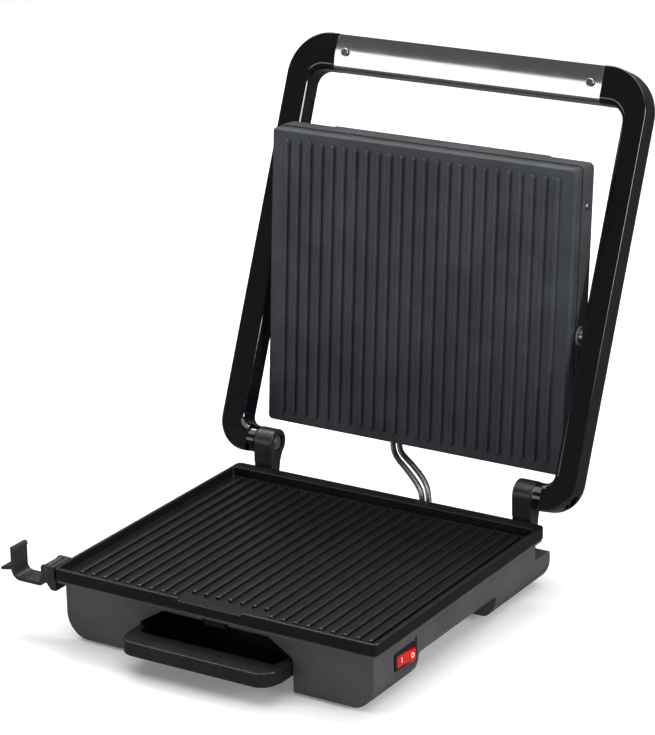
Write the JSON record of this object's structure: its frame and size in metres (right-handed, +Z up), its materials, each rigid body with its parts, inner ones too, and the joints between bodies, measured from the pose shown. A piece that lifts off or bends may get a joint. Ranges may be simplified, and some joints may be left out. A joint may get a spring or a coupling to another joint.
{
  "type": "panini press",
  "caption": "Contact grill with ribbed upper and lower plates, a lid that tilts in a pivoting hoop with a steel grip, drip tray, rocker switch and side latch.",
  "frame": {"origin": "on the table under the centre of the lower plate's rim", "axes": "+X to the user's right, +Y to the back, +Z up; the switch is on the +X side"},
  "size_m": [0.3909, 0.4717, 0.4272],
  "materials": {
    "tub_plastic": "moulded charcoal plastic, fine texture, satin",
    "lid_plastic": "moulded charcoal plastic, fine texture, satin",
    "plate_nonstick": "cast aluminium with dark speckled non-stick coating",
    "arm_gloss": "piano black, polished",
    "arm_inner": "satin black",
    "grip_steel": "polished stainless sleeve",
    "hardware_steel": "zinc-plated",
    "tower_plastic": "satin black glass-filled plastic",
    "switch_black": "matt black",
    "rocker_red": "glossy red with moulded white I and O",
    "tray_plastic": "semi-gloss charcoal",
    "latch_plastic": "charcoal, satin",
    "foot_rubber": "matt",
    "gland_rubber": "matt",
    "element_steel": "heat-tinted stainless sheath",
    "shield_steel": "aluminised sheet",
    "conduit_steel": "spiral-wound steel conduit",
    "block_plastic": "cream, matt",
    "bush_plastic": "black acetal"
  },
  "bodies": {
    "base": {"base_tub": "tub_plastic", "lower_grill_plate": "plate_nonstick", "lower_heating_element": "element_steel", "lower_heat_shield": "shield_steel", "thermostat": "hardware_steel", "terminal_block": "block_plastic", "rubber_feet": "foot_rubber", "plate_screws": "hardware_steel", "right_hinge_tower": "tower_plastic", "left_hinge_tower": "tower_plastic", "tower_screws": "hardware_steel", "hinge_bolts": "hardware_steel", "hinge_nuts": "hardware_steel", "hinge_washers": "hardware_steel", "switch_body": "switch_black", "cord_gland": "gland_rubber", "latch_bracket": "latch_plastic", "latch_pin": "hardware_steel", "base_conduit_clamp": "hardware_steel", "left_conduit": "conduit_steel", "right_conduit": "conduit_steel"},
    "hoop": {"right_arm_shell": "arm_gloss", "left_arm_shell": "arm_gloss", "right_arm_cover": "arm_inner", "left_arm_cover": "arm_inner", "handle_core": "switch_black", "handle_grip": "grip_steel", "grip_screws": "hardware_steel", "lid_pivot_studs": "hardware_steel"},
    "lid": {"lid_housing": "lid_plastic", "lid_back_panel": "lid_plastic", "upper_grill_plate": "plate_nonstick", "upper_heating_element": "element_steel", "upper_heat_shield": "shield_steel", "thermal_fuse": "hardware_steel", "lid_pivot_bushes": "bush_plastic", "lid_side_screws": "hardware_steel", "lid_conduit_clamp": "hardware_steel"},
    "latch_hook": {"latch_hook": "latch_plastic"},
    "drip_tray": {"drip_tray": "tray_plastic"},
    "switch_rocker": {"switch_rocker": "rocker_red"}
  },
  "joints": [
    {"name": "hoop_fold", "type": "hinge", "parent": "base", "child": "hoop", "pos_m": [0, 0.1525, 0.083], "axis": [1, 0, 0], "range_deg": [0, 112.9], "deforming": ["left_conduit", "right_conduit"]},
    {"name": "lid_tilt", "type": "hinge", "parent": "hoop", "child": "lid", "pos_m": [0, 0.20698, 0.21197], "axis": [1, 0, 0], "range_deg": [-18.3, 0]},
    {"name": "latch_swing", "type": "hinge", "parent": "base", "child": "latch_hook", "pos_m": [-0.164, -0.1247, 0.061], "axis": [0, 1, 0], "range_deg": [0, 90]},
    {"name": "tray_slide", "type": "slide", "parent": "base", "child": "drip_tray", "axis": [0, -1, 0], "range_m": [0, 0.08]},
    {"name": "rocker_tip", "type": "hinge", "parent": "base", "child": "switch_rocker", "pos_m": [0.1424, -0.0824, 0.0304], "axis": [0, 0, 1], "range_deg": [0, 20]}
  ],
  "couplings": [
    {"joint": "lid_tilt", "follows": "hoop_fold", "ratio": -0.16165}
  ]
}
